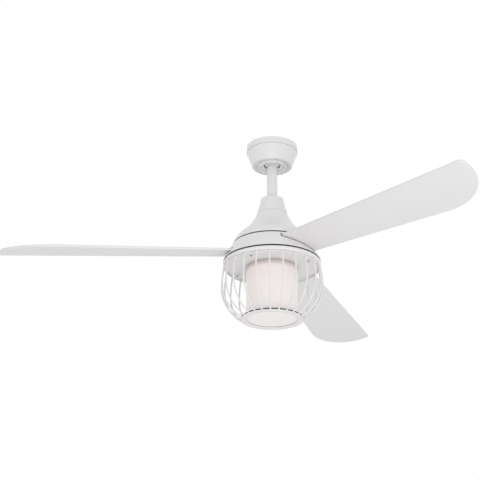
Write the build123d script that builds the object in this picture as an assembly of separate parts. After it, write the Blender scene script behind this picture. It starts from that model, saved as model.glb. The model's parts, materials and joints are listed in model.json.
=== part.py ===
from build123d import *
import math
import os

# Ceiling fan with three blades and a caged glass shade, hung on a short downrod.
# Millimetres, +Z up. The origin is the centre of the bracket's face against the ceiling.

# Stack of heights, from the ceiling down
canopy_height = 55.0
rod_visible = 91.5
cover_height = 41.5
bell_height = 84.0
upper_gap = 3.5
band_height = 41.5
lower_gap = 4.0
pan_height = 9.5
cage_seam = 1.4
shade_height = 132.5

# Fits and clearances
fit_gap = 0.05
seat_gap = 0.3
screw_gap = 0.2
rod_hole_gap = 0.6
slot_gap = 2.4
slot_side_gap = 1.2

# Screws
screw_radius = 2.0
screw_head_radius = 3.8
screw_head_height = 2.2
wide_head_radius = 4.2
small_screw_radius = 1.5
grub_radius = 2.5
grub_socket_radius = 1.3
thread_hole = screw_radius + fit_gap
free_hole = screw_radius + screw_gap

# Hanger bracket
plate_thickness = 2.5
plate_width = 38.0
ear_gap = 2.6
ear_width = 18.0
ear_drop = 16.0
slot_spacing = 88.9
slot_width = 5.5
slot_length = 12.0
wire_hole_radius = 15.0
leg_inner = 33.0
leg_width = 24.0
lug_width = 20.0
lug_reach = 50.0
block_size = (22.0, 14.0, 13.0)

# Hanger ball and its seat
ball_radius = 29.0
ball_drop = 27.0
ball_top = 9.0
seat_opening = 20.0
seat_top = 10.0
groove_width = 8.0
groove_depth = 4.5
groove_end = 15.0
seat_tab_height = 3.0
seat_tab_width = 6.0

# Canopy and its trim ring
canopy_sheet = 1.0
neck_radius = 61.9
shoulder_radius = 64.2
canopy_foot_radius = 50.2
canopy_foot_round = 1.8
canopy_hole_radius = 21.5
bead_radius = 34.0
bead_half_width = 3.0
lip_width = 2.2
lip_groove_width = 2.2
lip_groove_depth = 2.2
step_width = 3.0
step_rise = 0.5
trough_depth = 4.5
recess_depth = 2.6
recess_sheet = 0.8
ring_radius = 64.9
ring_height = 16.5
ring_top_gap = 0.5
canopy_screw_drop = 9.0

# Downrod and pins
rod_radius = 13.0
rod_wall = 2.0
rod_above_ball_centre = 16.0
pin_radius = 3.0
hanger_pin_length = 50.0
clevis_pin_length = 44.0

# Coupling cover
cover_sheet = 1.5
cover_foot_radius = 38.0
cover_neck_radius = 29.4
cover_neck_height = 10.5
cover_top_round = 5.0

# Motor yoke
yoke_radius = 18.5
yoke_reach_into_cover = 31.0
yoke_rod_depth = 42.0
yoke_flange_radius = 30.0
yoke_flange_thickness = 6.0
yoke_shaft_depth = 18.0
yoke_stem_radius = 15.0
clevis_below_top = 14.0
yoke_screw_below_top = 26.0

# Bell-shaped top housing
bell_sheet = 1.5
bell_foot_radius = 96.5
bell_points = [(84.9, 21.0), (63.6, 41.0), (48.6, 61.0)]
housing_screw_circle = 25.0

# Turning band
band_sheet = 1.6
band_top_radius = 97.6
band_foot_radius = 119.8
band_bulge = 1.2
band_flange_inner = 72.0

# Motor
shaft_radius = 7.5
shaft_bore_radius = 4.5
bearing_radius = 16.0
bearing_width = 9.0
case_radius = 66.0
case_wall = 3.0
case_height = 37.0
case_floor = 3.0
case_joint = 19.0
boss_wall = 4.0
case_ear_reach = 4.0
case_ear_radius = 5.0
case_ear_thickness = 5.0
rotor_ring_wall = 12.4
core_inner = 22.0
core_height = 17.0
core_hub_height = 10.0
core_slots = 12
air_gap = 0.6
winding_height = 4.0

# Blade hub
hub_radius = 82.0
hub_bore = 12.0
hub_thickness = 5.0
hub_drop_in_band = 4.5
hub_screw_circle = 45.0

# Blades
blade_count = 3
first_blade_angle = 60.0
blade_plane_in_band = 15.5
blade_tip_radius = 660.0
blade_thickness = 6.0
blade_edge_round = 2.2
blade_pitch = 12.3
blade_droop = 3.5
lead_offset = 46.8
trail_offset = 38.8
edge_spread = 0.0436
tip_corner_round = 11.5
tip_curve_length = 140.0
tip_curve_low = -60.0
root_inner = 46.0
root_half_width = 27.0
root_shoulder = 78.0
root_full = 92.0
blade_screw_places = [(57.0, 0.0), (73.0, -17.0), (73.0, 17.0)]

# Light plate and pan
light_plate_edge = 8.0
light_plate_thickness = 2.0
light_plate_boss_radius = 14.0
light_plate_boss_height = 20.0
pan_sheet = 1.2
pan_overhang = 0.2
pan_draft = 0.6
pan_corner_round = 3.0
pan_hole_radius = 24.0
pan_screw_inset = 18.2
pan_screw_angle = 49.5
pan_screw_count = 4
capacitor_size = (34.0, 20.0, 13.0)
capacitor_place = 62.0

# Lamp
holder_radius = 19.5
holder_length = 42.0
holder_bore = 13.6
holder_bore_depth = 24.0
shade_ring_radius = 29.0
shade_ring_height = 8.0
cap_radius = 13.2
cap_length = 22.0
bulb_radius = 30.0
bulb_neck_radius = 13.5
bulb_length = 78.0

# Glass shade
shade_radius = 63.0
shade_wall = 3.0
shade_top_round = 2.5
shade_foot_round = 3.4
shade_hole_gap = 1.5
cushion_edge_inset = 1.3
cushion_height = 3.4

# Cage
wire_radius = 2.0
wire_count = 24
wire_start_angle = 1.5
cage_edge_inset = 1.8
cage_belly_out = 4.8
cage_belly_drop = 50.0
cage_lower_curve = 92.0
cage_ring_wall = 3.1
cage_wire_seat = 0.6
cage_ring_height = 2.6
tab_width = 14.0
tab_nose = 7.0
tab_thickness = 2.2
bottom_ring_outer = 75.5
bottom_ring_inner = 60.5
bottom_ring_thickness = 2.5
bottom_ring_gap = 0.5

# Levels worked out from the stack
canopy_foot = -canopy_height
cover_top = canopy_foot - rod_visible
bell_top = cover_top - cover_height
bell_foot = bell_top - bell_height
band_top = bell_foot - upper_gap
band_foot = band_top - band_height
pan_top = band_foot - lower_gap
pan_foot = pan_top - pan_height
shade_foot = pan_foot - shade_height
cage_ring_top = pan_foot - cage_seam
pan_radius = band_foot_radius + pan_overhang
cage_top_radius = pan_radius - cage_edge_inset
cage_belly_radius = cage_top_radius + cage_belly_out
cage_ring_outer = cage_top_radius - cage_wire_seat
pan_screw_circle = cage_top_radius - pan_screw_inset
tab_inner = pan_screw_circle - tab_nose
light_plate_radius = pan_screw_circle + light_plate_edge
cage_ring_inner = cage_ring_outer - cage_ring_wall
bottom_ring_top = shade_foot - bottom_ring_gap
ball_level = -ball_drop
blade_level = band_top - blade_plane_in_band
hub_top = band_top - hub_drop_in_band
case_foot = hub_top
case_top = case_foot + case_height
case_split = case_foot + case_joint
core_radius = case_radius - case_wall - rotor_ring_wall - air_gap
case_ear_circle = case_radius + case_ear_reach
ear_reach = neck_radius - canopy_sheet - ear_gap
lower_bearing_foot = case_foot + case_floor
upper_bearing_foot = case_top - case_floor - bearing_width
core_middle = (lower_bearing_foot + upper_bearing_foot + bearing_width) / 2
yoke_top = bell_top + yoke_reach_into_cover
rod_foot = yoke_top - yoke_rod_depth
yoke_shoulder = bell_top - bell_sheet
shaft_top = rod_foot - 12.0
yoke_foot = shaft_top - yoke_shaft_depth
light_plate_foot = pan_foot + pan_sheet
light_plate_top = light_plate_foot + light_plate_thickness
boss_top = light_plate_top + light_plate_boss_height
shaft_foot = light_plate_foot + 3.0
holder_foot = light_plate_foot - holder_length
bulb_top = holder_foot - 1.0
blade_angles = [first_blade_angle + i * 360 / blade_count for i in range(blade_count)]
free_angles = [angle + 180 / blade_count for angle in blade_angles]


def turned(outline):
    # Solid of revolution from a closed outline of (radius, height) edges.
    return revolve(make_face(outline), Axis.Z)


def section(*points):
    # Closed straight-sided outline on the XZ plane, from (radius, height) points.
    return Plane.XZ * Polyline(*points, close=True)


def disc(radius, foot, top, bore=0.0):
    upright = (Align.CENTER, Align.CENTER, Align.MIN)
    solid = Pos(0, 0, foot) * Cylinder(radius, top - foot, align=upright)
    if bore:
        solid -= disc(bore, foot - 1, top + 1)
    return solid


def block(low, high):
    size = [b - a for a, b in zip(low, high)]
    return Pos(*low) * Box(*size, align=(Align.MIN, Align.MIN, Align.MIN))


def rod_along(axis_name, radius, start, end, place):
    # Cylinder along X, Y or Z from start to end, through place, which gives the other two coordinates.
    length = end - start
    bar = Cylinder(radius, length, align=(Align.CENTER, Align.CENTER, Align.MIN))
    if axis_name == "X":
        return Pos(start, place[0], place[1]) * Rot(0, 90, 0) * bar
    if axis_name == "Y":
        return Pos(place[0], start, place[1]) * Rot(-90, 0, 0) * bar
    return Pos(place[0], place[1], start) * bar


def pan_head_screw(length, head=screw_head_radius, head_height=screw_head_height, shank=screw_radius):
    # Screw pointing down: the head's underside is at z = 0 and the shank below it.
    return turned(
        section(
            (0, -length),
            (shank, -length),
            (shank, 0),
            (head, 0),
            (head, head_height * 0.5),
            (head * 0.6, head_height),
            (0, head_height),
        )
    )


def around(item, angles):
    return [Rot(0, 0, angle) * item for angle in angles]


def cut_all(solid, tools):
    for tool in tools:
        solid -= tool
    return solid


def as_group(solids):
    return Compound(children=[s.solid() if not isinstance(s, Solid) else s for s in solids])


def normal_inset(points, wall):
    # Moves each point of an open (radius, height) line inwards by the wall, square to the line.
    moved = []
    for i, (r, z) in enumerate(points):
        before = points[max(i - 1, 0)]
        after = points[min(i + 1, len(points) - 1)]
        along = (after[0] - before[0], after[1] - before[1])
        size = math.hypot(*along)
        moved.append((r - wall * along[1] / size, z + wall * along[0] / size))
    return moved


# Ceiling mount


def seat_tab():
    # Tab that sits in the ball's groove and stops the fan from turning on its rod.
    reach = ball_radius - groove_depth + 1.0
    half = seat_tab_width / 2
    top = ball_level - seat_top - plate_thickness
    ring = rod_along("X", ball_radius + plate_thickness, -half, half, (0, ball_level))
    ring -= rod_along("X", reach, -half - 1, half + 1, (0, ball_level))
    return ring & block((-half, groove_end, top - seat_tab_height), (half, ball_radius + 5, top))


def ball_seat():
    inner = ball_radius + seat_gap
    dish = Pos(0, 0, ball_level) * Sphere(inner + plate_thickness)
    flange_foot = ball_level - seat_top - plate_thickness
    dish += disc(leg_inner + plate_thickness + 1, flange_foot, ball_level - seat_top)
    dish &= disc(ball_radius * 2, ball_level - ball_radius * 2, ball_level - seat_top)
    dish -= Pos(0, 0, ball_level) * Sphere(inner)
    dish -= disc(seat_opening, ball_level - ball_radius * 2, 0)
    mouth = rod_radius + 1.5
    return dish - block((-mouth, -ball_radius * 2, ball_level - ball_radius * 2), (mouth, 0, 0))


def hanger_bracket():
    plate = block((-ear_reach, -plate_width / 2, -plate_thickness), (ear_reach, plate_width / 2, 0))
    plate += block((-lug_width / 2, 0, -plate_thickness), (lug_width / 2, lug_reach, 0))
    for side in (-1, 1):
        near, far = sorted((side * (ear_reach - plate_thickness), side * ear_reach))
        plate += block((near, -ear_width / 2, -ear_drop), (far, ear_width / 2, 0))
        near, far = sorted((side * leg_inner, side * (leg_inner + plate_thickness)))
        leg_foot = ball_level - seat_top - plate_thickness
        plate += block((near, -leg_width / 2, leg_foot), (far, leg_width / 2, 0))
        slot = Pos(side * slot_spacing / 2, 0, -plate_thickness) * extrude(
            SlotOverall(slot_length, slot_width), plate_thickness
        )
        plate -= slot
    plate -= rod_along("X", thread_hole, -ear_reach - 1, -ear_reach + 5, (0, -canopy_screw_drop))
    plate -= rod_along("X", thread_hole, ear_reach - 5, ear_reach + 1, (0, -canopy_screw_drop))
    plate -= disc(wire_hole_radius, -plate_thickness, 0)
    plate &= disc(neck_radius - canopy_sheet - screw_gap, -canopy_height, 0)
    return plate + ball_seat() + seat_tab()


def canopy():
    shoulder = -ring_top_gap - ring_height
    trough = canopy_foot + trough_depth
    recess = canopy_foot + recess_depth
    lip_inner = canopy_foot_radius - lip_width
    groove_inner = lip_inner - lip_groove_width
    bead_outer = bead_radius + bead_half_width
    outline = section(
        (neck_radius, -2 * ring_top_gap),
        (neck_radius, shoulder),
        (shoulder_radius, shoulder),
        (canopy_foot_radius, canopy_foot),
        (lip_inner, canopy_foot),
        (lip_inner, canopy_foot + lip_groove_depth),
        (groove_inner, canopy_foot + lip_groove_depth),
        (groove_inner, canopy_foot + step_rise),
        (groove_inner - step_width, canopy_foot + step_rise),
        (groove_inner - step_width, trough),
        (bead_outer, trough),
        (bead_outer, recess),
        (canopy_hole_radius, recess),
        (canopy_hole_radius, recess + recess_sheet),
        (bead_radius, recess + recess_sheet),
        (bead_radius + 2, trough + canopy_sheet),
        (canopy_foot_radius - canopy_sheet, trough + canopy_sheet),
        (shoulder_radius - canopy_sheet * 1.6, shoulder - canopy_sheet),
        (neck_radius - canopy_sheet, shoulder - canopy_sheet),
        (neck_radius - canopy_sheet, -2 * ring_top_gap),
    )
    face = make_face(outline)
    corner = face.vertices().filter_by_position(Axis.Z, canopy_foot - 0.1, canopy_foot + 0.1).sort_by(Axis.X)[-1]
    shell = revolve(fillet(corner, canopy_foot_round), Axis.Z)
    bead_level = canopy_foot - 0.4
    shell += disc(bead_outer, bead_level, recess + recess_sheet / 2, bead_radius - bead_half_width)
    shell += Pos(0, 0, bead_level) * Torus(bead_radius, bead_half_width)
    hole = rod_along("X", free_hole, -shoulder_radius, shoulder_radius, (0, -canopy_screw_drop))
    return shell - hole


def canopy_ring():
    top = -ring_top_gap
    return turned(
        section(
            (ring_radius - canopy_sheet, top - ring_height),
            (ring_radius, top - ring_height),
            (ring_radius, top - 1.2),
            (ring_radius - canopy_sheet, top),
            (ring_radius - canopy_sheet - 0.4, top),
            (ring_radius - canopy_sheet, top - 1.2),
        )
    )


def canopy_screws():
    screw = pan_head_screw(9.0, 4.0, 1.7)
    seat = neck_radius + fit_gap
    screws = [Pos(side * seat, 0, -canopy_screw_drop) * Rot(0, side * 90, 0) * screw for side in (-1, 1)]
    return as_group(screws)


def terminal_block():
    width, depth, height = block_size
    near, foot, top = lug_reach - depth, -plate_thickness - height, -plate_thickness
    body = block((-width / 2, near, foot), (width / 2, lug_reach, top))
    pitch = width / 3
    for i in range(3):
        x = -width / 2 + pitch * (i + 0.5)
        body -= rod_along("Y", 1.8, near - 1, lug_reach + 1, (x, top - height * 0.65))
        body -= rod_along("Z", 1.6, foot, top - height * 0.75, (x, lug_reach - 4))
    for i in range(2):
        x = -width / 2 + pitch * (i + 1)
        body -= block((x - 0.5, near, foot), (x + 0.5, lug_reach, top - height * 0.6))
    return body


# Hanging rod


def hanger_ball():
    ball = Pos(0, 0, ball_level) * Sphere(ball_radius)
    ball &= disc(ball_radius + 1, ball_level - ball_radius, ball_level + ball_top)
    ball -= disc(rod_radius + fit_gap, -80, 0)
    ball -= rod_along("X", pin_radius + fit_gap, -ball_radius, ball_radius, (0, ball_level))
    ball -= rod_along("Y", grub_radius + fit_gap, -ball_radius, 0, (0, ball_level + 4))
    groove = rod_along("X", ball_radius + 2, -groove_width / 2, groove_width / 2, (0, ball_level))
    groove -= rod_along("X", ball_radius - groove_depth, -groove_width, groove_width, (0, ball_level))
    zone = block((-groove_width, groove_end, ball_level - ball_radius), (groove_width, ball_radius + 1, 0))
    return ball - (groove & zone)


def hanger_pin():
    return rod_along("X", pin_radius, -hanger_pin_length / 2, hanger_pin_length / 2, (0, ball_level))


def ball_set_screw():
    reach = rod_radius + fit_gap
    screw = rod_along("Y", grub_radius, -reach - 12, -reach - fit_gap, (0, ball_level + 4))
    return screw - rod_along("Y", grub_socket_radius, -reach - 13, -reach - 9, (0, ball_level + 4))


def downrod():
    rod = disc(rod_radius, rod_foot, ball_level + rod_above_ball_centre, rod_radius - rod_wall)
    rod -= rod_along("X", pin_radius + fit_gap, -20, 20, (0, ball_level))
    return rod - rod_along("X", pin_radius + fit_gap, -20, 20, (0, yoke_top - clevis_below_top))


def coupling_cover():
    neck_top = cover_top - cover_top_round
    neck_foot = cover_top - cover_neck_height
    inner_neck = cover_neck_radius - cover_sheet
    outer = Polyline(
        (rod_radius + rod_hole_gap, cover_top),
        (cover_neck_radius, cover_top),
        (cover_neck_radius, neck_foot),
        (cover_foot_radius, bell_top),
        (cover_foot_radius - cover_sheet, bell_top),
        (inner_neck, neck_foot),
        (inner_neck, cover_top - cover_sheet),
        (rod_radius + rod_hole_gap, cover_top - cover_sheet),
        close=True,
    )
    face = make_face(Plane.XZ * outer)
    corners = face.vertices().filter_by_position(Axis.Z, cover_top - 0.1, cover_top + 0.1)
    face = fillet(corners.sort_by(Axis.X)[-1], cover_top_round)
    level = cover_top - cover_sheet
    corners = face.vertices().filter_by_position(Axis.Z, level - 0.1, level + 0.1)
    face = fillet(corners.sort_by(Axis.X)[-1], cover_top_round - cover_sheet)
    return revolve(face, Axis.Z)


def motor_yoke():
    flange_foot = yoke_shoulder - yoke_flange_thickness
    body = disc(yoke_radius, flange_foot, yoke_top)
    body += disc(yoke_flange_radius, flange_foot, yoke_shoulder)
    body += turned(
        section(
            (0, yoke_foot),
            (yoke_stem_radius, yoke_foot),
            (yoke_stem_radius, flange_foot - 8),
            (yoke_flange_radius - 6, flange_foot),
            (0, flange_foot),
        )
    )
    body -= disc(rod_radius + fit_gap, rod_foot, yoke_top + 1)
    body -= disc(shaft_radius + fit_gap, yoke_foot - 1, shaft_top)
    body -= disc(shaft_bore_radius + 2, shaft_top - 1, rod_foot + 1)
    body -= rod_along("X", pin_radius + fit_gap, -40, 40, (0, yoke_top - clevis_below_top))
    body -= rod_along("Y", grub_radius + fit_gap, -40, 40, (0, yoke_top - yoke_screw_below_top))
    screw_hole = rod_along("Z", thread_hole, flange_foot - 1, yoke_shoulder + 1, (housing_screw_circle, 0))
    return cut_all(body, around(screw_hole, free_angles))


def clevis_pin():
    level = yoke_top - clevis_below_top
    pin = rod_along("X", pin_radius, -yoke_radius - 1, clevis_pin_length - yoke_radius - 1, (0, level))
    pin += rod_along("X", 5.0, -yoke_radius - 3.5, -yoke_radius - fit_gap, (0, level))
    return pin - rod_along("Z", 1.1, level - 5, level + 5, (yoke_radius + 3, 0))


def clevis_clip():
    # Hairpin clip through the pin's cross hole, with one leg round the outside of the pin.
    level = yoke_top - clevis_below_top
    x = yoke_radius + 3
    side = pin_radius + 1.2
    path = Wire(
        [
            Line((x, 0, level - 7), (x, 0, level + 5)),
            ThreePointArc((x, 0, level + 5), (x, side / 2, level + 5 + side / 2), (x, side, level + 5)),
            Line((x, side, level + 5), (x, side, level - 5)),
        ]
    )
    return sweep(Plane((x, 0, level - 7), z_dir=(0, 0, 1)) * Circle(0.9), path)


def yoke_set_screws():
    level = yoke_top - yoke_screw_below_top
    start = rod_radius + fit_gap
    screw = rod_along("Y", grub_radius, start, start + 8, (0, level))
    screw -= rod_along("Y", grub_socket_radius, start + 5, start + 9, (0, level))
    return as_group(around(screw, (0, 180)))


# Still housing and motor


def top_housing():
    foot = (bell_foot_radius, bell_foot)
    middle = [(r, bell_foot + h) for r, h in bell_points]
    top = (cover_foot_radius, bell_top)
    outer_points = [foot] + middle + [top]
    inner_points = normal_inset(outer_points, bell_sheet)
    inner_points[0] = (inner_points[0][0], bell_foot)
    inner_points[-1] = (cover_foot_radius - bell_sheet, bell_top - bell_sheet)
    lean_out = (-0.30, 1)
    lean_in = (-0.28, 1)
    outline = [
        Spline(*outer_points, tangents=(lean_out, lean_in)),
        Line(top, (yoke_radius + rod_hole_gap, bell_top)),
        Line((yoke_radius + rod_hole_gap, bell_top), (yoke_radius + rod_hole_gap, yoke_shoulder)),
        Line((yoke_radius + rod_hole_gap, yoke_shoulder), inner_points[-1]),
        Spline(*inner_points, tangents=(lean_out, lean_in)),
        Line(inner_points[0], foot),
    ]
    bell = turned(Plane.XZ * Wire(outline))
    hole = rod_along("Z", free_hole, yoke_shoulder - 1, bell_top + 1, (housing_screw_circle, 0))
    return cut_all(bell, around(hole, free_angles))


def housing_screws():
    screw = Pos(housing_screw_circle, 0, bell_top) * pan_head_screw(7.0)
    return as_group(around(screw, free_angles))


def motor_shaft():
    return disc(shaft_radius, shaft_foot, shaft_top, shaft_bore_radius)


def stator_core():
    half = core_height / 2
    core = disc(core_radius, core_middle - half, core_middle + half, core_inner)
    slot = block((28, -3.2, core_middle - half - 1), (core_radius - 4, 3.2, core_middle + half + 1))
    mouth = ((core_radius - 6, -1.2, core_middle - half - 1), (core_radius + 1, 1.2, core_middle + half + 1))
    slot += block(*mouth)
    core = cut_all(core, around(slot, [i * 360 / core_slots for i in range(core_slots)]))
    half = core_hub_height / 2
    return core + disc(core_inner, core_middle - half, core_middle + half, shaft_radius + fit_gap)


def stator_windings():
    half = core_height / 2
    ends = disc(core_radius - 5, core_middle + half + fit_gap, core_middle + half + winding_height, 27)
    ends += disc(core_radius - 5, core_middle - half - winding_height, core_middle - half - fit_gap, 27)
    bar = block(
        (28 + seat_gap, -3.2 + seat_gap, core_middle - half - 1),
        (core_radius - 6 - seat_gap, 3.2 - seat_gap, core_middle + half + 1),
    )
    for item in around(bar, [i * 360 / core_slots for i in range(core_slots)]):
        ends += item
    return ends


# Turning motor case


def bearing_boss(foot, top):
    return disc(bearing_radius + boss_wall, foot, top, bearing_radius + fit_gap / 2)


def case_ears(foot, top):
    ears = []
    for angle in free_angles:
        ear = rod_along("Z", case_ear_radius, foot, top, (case_ear_circle, 0))
        ear -= rod_along("Z", thread_hole, foot - 1, top + 1, (case_ear_circle, 0))
        ears.append(Rot(0, 0, angle) * (ear - disc(case_radius - case_wall, foot - 1, top + 1)))
    return ears


def motor_case_bottom():
    shell = disc(case_radius, case_foot, case_split) - disc(
        case_radius - case_wall, case_foot + case_floor, case_split + 1
    )
    shell -= disc(shaft_radius + 1.0, case_foot - 1, case_foot + case_floor + 1)
    shell += bearing_boss(case_foot + case_floor - 0.5, lower_bearing_foot + bearing_width)
    for ear in case_ears(case_split - case_ear_thickness, case_split):
        shell += ear
    hole = rod_along("Z", thread_hole, case_foot - 1, case_foot + case_floor + 1, (hub_screw_circle, 0))
    return cut_all(shell, around(hole, free_angles))


def motor_case_top():
    shoulder = 8.0
    outer = turned(
        section(
            (0, case_split),
            (case_radius, case_split),
            (case_radius, case_top - shoulder),
            (case_radius - shoulder, case_top),
            (0, case_top),
        )
    )
    inner = turned(
        section(
            (0, case_split),
            (case_radius - case_wall, case_split),
            (case_radius - case_wall, case_top - shoulder - 1),
            (case_radius - shoulder - 1, case_top - case_floor),
            (0, case_top - case_floor),
        )
    )
    shell = outer - inner - disc(shaft_radius + 1.0, case_top - case_floor - 1, case_top + 1)
    shell += bearing_boss(upper_bearing_foot, case_top - case_floor + 0.5)
    for ear in case_ears(case_split, case_split + case_ear_thickness):
        shell += ear
    return shell


def case_screws():
    seat = case_split + case_ear_thickness
    screw = Pos(case_ear_circle, 0, seat) * pan_head_screw(2 * case_ear_thickness)
    return as_group(around(screw, free_angles))


def rotor_ring():
    half = core_height / 2
    outer = case_radius - case_wall - fit_gap / 2
    return disc(outer, core_middle - half, core_middle + half, core_radius + air_gap)


def bearing(foot):
    ring = disc(bearing_radius, foot, foot + bearing_width, shaft_radius + fit_gap)
    groove = 0.8
    for level in (foot, foot + bearing_width):
        ring -= disc(bearing_radius - 2.5, level - groove, level + groove, shaft_radius + 2.5)
    return ring


def on_blade(item, angle):
    # Blade frame: x runs out along the blade, z is square to it, and the leading edge is the higher one.
    return Pos(0, 0, blade_level) * Rot(0, 0, angle) * Rot(0, blade_droop, 0) * Rot(-blade_pitch, 0, 0) * item


def blade_screw_holes(radius, angle, low, high):
    return [on_blade(rod_along("Z", radius, low, high, place), angle) for place in blade_screw_places]


def blade_hub():
    hub = disc(hub_radius, hub_top - hub_thickness, hub_top, hub_bore)
    zone = disc(hub_radius, hub_top - 40, hub_top - hub_thickness / 2, hub_bore)
    for angle in blade_angles:
        pad = block(
            (root_inner - 6, -root_half_width + 1, blade_thickness / 2),
            (hub_radius + 10, root_half_width - 1, 40),
        )
        hub += on_blade(pad, angle) & zone
    for angle in blade_angles:
        hub = cut_all(hub, blade_screw_holes(thread_hole, angle, 0, 10))
    bolt = rod_along("Z", thread_hole, hub_top - 20, hub_top + 1, (hub_screw_circle, 0))
    hub = cut_all(hub, around(bolt, free_angles))
    bolt = rod_along("Z", small_screw_radius + fit_gap, hub_top - 20, hub_top + 1, (hub_radius - 5, 0))
    return cut_all(hub, around(bolt, free_angles))


def hub_screws():
    screw = Pos(hub_screw_circle, 0, hub_top - hub_thickness) * Rot(180, 0, 0) * pan_head_screw(7.5)
    return as_group(around(screw, free_angles))


def band_wall(offset):
    # Half outline of the band's cone, moved inwards by offset.
    middle = ((band_top_radius + band_foot_radius) / 2 + band_bulge - offset, (band_top + band_foot) / 2)
    return ThreePointArc((band_top_radius - offset, band_top), middle, (band_foot_radius - offset, band_foot))


def rotor_band():
    flange_foot = hub_top
    flange_top = hub_top + band_sheet
    outline = [
        band_wall(0),
        Line((band_foot_radius, band_foot), (band_foot_radius - band_sheet, band_foot)),
        band_wall(band_sheet),
        Line((band_top_radius - band_sheet, band_top), (band_top_radius, band_top)),
    ]
    band = turned(Plane.XZ * Wire(outline))
    flange = disc(band_top_radius + 10, flange_foot, flange_top, band_flange_inner + 3.2)
    inside = turned(
        Plane.XZ
        * Wire(
            [
                band_wall(band_sheet / 2),
                Line((band_foot_radius - band_sheet / 2, band_foot), (0, band_foot)),
                Line((0, band_foot), (0, band_top)),
                Line((0, band_top), (band_top_radius - band_sheet / 2, band_top)),
            ]
        )
    )
    band += flange & inside
    for angle in blade_angles:
        cutter = Pos(0, 0, -blade_thickness / 2 - slot_gap) * extrude(
            make_face(Polyline(*root_trapezoid(slot_side_gap), close=True)), blade_thickness + 2 * slot_gap
        )
        band -= on_blade(cutter, angle)
    bolt = rod_along("Z", small_screw_radius + screw_gap, hub_top - 1, hub_top + 5, (hub_radius - 5, 0))
    return cut_all(band, around(bolt, free_angles))


def root_trapezoid(gap):
    # The blade's own edges where it passes through the band, widened by a gap.
    near, far = root_full - 6, band_foot_radius + 25
    lead = [-(lead_offset + edge_spread * u) - gap for u in (near, far)]
    trail = [trail_offset + edge_spread * u + gap for u in (near, far)]
    return [(near, lead[0]), (far, lead[1]), (far, trail[1]), (near, trail[0])]


def band_screws():
    screw = Pos(hub_radius - 5, 0, hub_top + band_sheet) * pan_head_screw(5.5, 2.8, 1.6, small_screw_radius)
    return as_group(around(screw, free_angles))


def blade_outline():
    def lead(u):
        return -(lead_offset + edge_spread * u)

    def trail(u):
        return trail_offset + edge_spread * u

    curve_start = blade_tip_radius - tip_curve_length
    rise = trail(curve_start) - tip_curve_low
    straight = Polyline(
        (curve_start, trail(curve_start)),
        (root_full, trail(root_full)),
        (root_shoulder, root_half_width),
        (root_inner, root_half_width),
        (root_inner, -root_half_width),
        (root_shoulder, -root_half_width),
        (root_full, lead(root_full)),
        (blade_tip_radius, lead(blade_tip_radius)),
        (blade_tip_radius, tip_curve_low),
    )
    curve = EllipticalCenterArc((curve_start, tip_curve_low), tip_curve_length, rise, arc_size=90)
    face = make_face(straight.edges() + curve.edges())
    corner = face.vertices().sort_by_distance((blade_tip_radius, lead(blade_tip_radius), 0))[0]
    return fillet(corner, tip_corner_round)


def blade(angle):
    slab = Pos(0, 0, -blade_thickness / 2) * extrude(blade_outline(), blade_thickness)
    rims = slab.edges().filter_by(lambda e: abs(e.center().Z) > blade_thickness / 2 - 0.01)
    slab = fillet(rims, blade_edge_round)
    solid = on_blade(slab, angle)
    return cut_all(solid, blade_screw_holes(free_hole, angle, -6, 6))


def blade_screws():
    screws = []
    for angle in blade_angles:
        for u, v in blade_screw_places:
            screw = Pos(u, v, -blade_thickness / 2) * Rot(180, 0, 0) * pan_head_screw(12.0, wide_head_radius)
            screws.append(on_blade(screw, angle))
    return as_group(screws)


# Light kit


def pan_screw_angles():
    return [pan_screw_angle + i * 360 / pan_screw_count for i in range(pan_screw_count)]


def light_plate():
    plate = disc(light_plate_radius, light_plate_foot, light_plate_top)
    plate += turned(
        section(
            (0, light_plate_top),
            (light_plate_boss_radius + 8, light_plate_top),
            (light_plate_boss_radius, light_plate_top + 6),
            (light_plate_boss_radius, boss_top),
            (0, boss_top),
        )
    )
    plate -= disc(shaft_radius + fit_gap, shaft_foot, boss_top + 1)
    plate -= disc(shaft_radius - 1, light_plate_foot - 1, boss_top)
    plate -= rod_along("Y", grub_radius + fit_gap, -20, 0, (0, light_plate_top + 12))
    hole = rod_along("Z", thread_hole, light_plate_foot - 1, light_plate_top + 1, (pan_screw_circle, 0))
    return cut_all(plate, around(hole, pan_screw_angles()))


def plate_grub_screw():
    start = shaft_radius + fit_gap
    screw = rod_along("Y", grub_radius, -start - 8, -start, (0, light_plate_top + 12))
    return screw - rod_along("Y", grub_socket_radius, -start - 9, -start - 5, (0, light_plate_top + 12))


def motor_capacitor():
    length, width, height = capacitor_size
    can = block(
        (capacitor_place - width / 2, -length / 2, light_plate_top),
        (capacitor_place + width / 2, length / 2, light_plate_top + height),
    )
    return fillet(can.edges().filter_by(Axis.Z), 3.0)


def light_pan():
    outer = Polyline(
        (0, pan_foot),
        (pan_radius - pan_draft, pan_foot),
        (pan_radius, pan_top),
        (0, pan_top),
        close=True,
    )
    face = make_face(Plane.XZ * outer)
    corners = face.vertices().filter_by_position(Axis.Z, pan_foot - 0.1, pan_foot + 0.1)
    face = fillet(corners.sort_by(Axis.X)[-1], pan_corner_round)
    hollow = Polyline(
        (0, light_plate_foot),
        (pan_radius - pan_draft - pan_sheet, light_plate_foot),
        (pan_radius - pan_sheet, pan_top),
        (0, pan_top),
        close=True,
    )
    hollow_face = make_face(Plane.XZ * hollow)
    level = light_plate_foot
    corners = hollow_face.vertices().filter_by_position(Axis.Z, level - 0.1, level + 0.1)
    hollow_face = fillet(corners.sort_by(Axis.X)[-1], pan_corner_round - pan_sheet)
    pan = revolve(face, Axis.Z) - revolve(hollow_face, Axis.Z)
    pan -= disc(pan_hole_radius, pan_foot - 1, pan_top)
    hole = rod_along("Z", free_hole, pan_foot - 1, light_plate_foot + 1, (pan_screw_circle, 0))
    return cut_all(pan, around(hole, pan_screw_angles()))


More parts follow.
